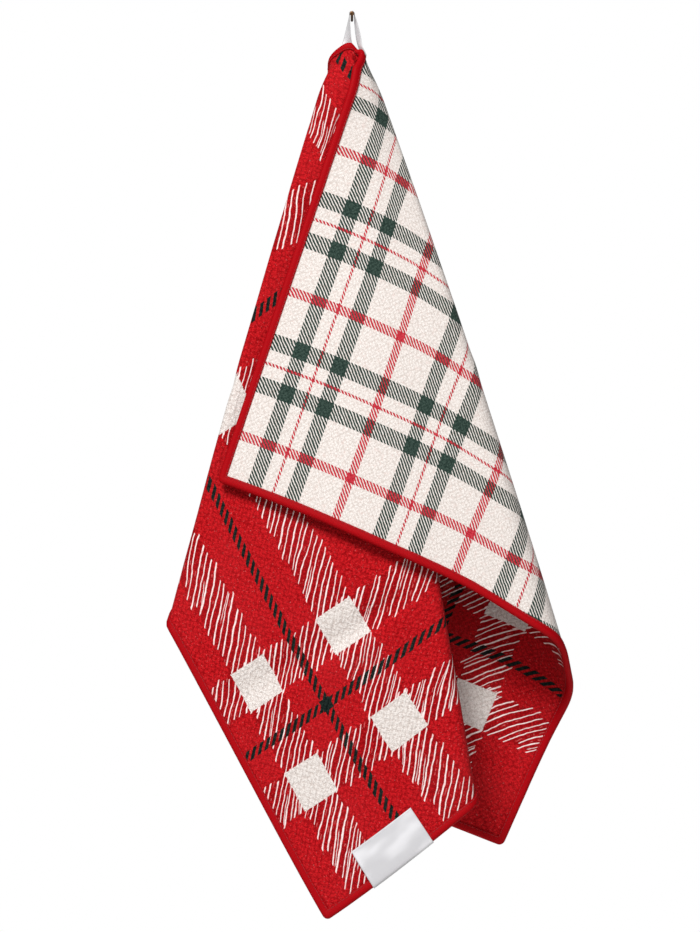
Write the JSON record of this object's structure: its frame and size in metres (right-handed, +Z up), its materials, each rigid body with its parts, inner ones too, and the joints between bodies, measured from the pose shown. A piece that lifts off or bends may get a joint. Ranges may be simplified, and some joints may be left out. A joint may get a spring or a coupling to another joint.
{
  "type": "hand towel hung from a wall nail",
  "caption": "Two-faced checked hand towel with a bound edge, hung by a ribbon loop from a plain wall nail and draped in folds.",
  "frame": {"origin": "middle of the nail's cut end, on the wall plane", "axes": "+X to the right as seen from the room, +Y into the wall, +Z up"},
  "size_m": [0.2662, 0.0898, 0.5909],
  "materials": {
    "cloth": "matt",
    "binding": "soft sheen",
    "hanging_loop": "satin",
    "label": "satin",
    "nail": "dark bronze"
  },
  "bodies": {
    "root": {"cloth": "cloth", "binding": "binding", "hanging_loop": "hanging_loop", "label": "label", "nail": "nail"}
  },
  "joints": []
}
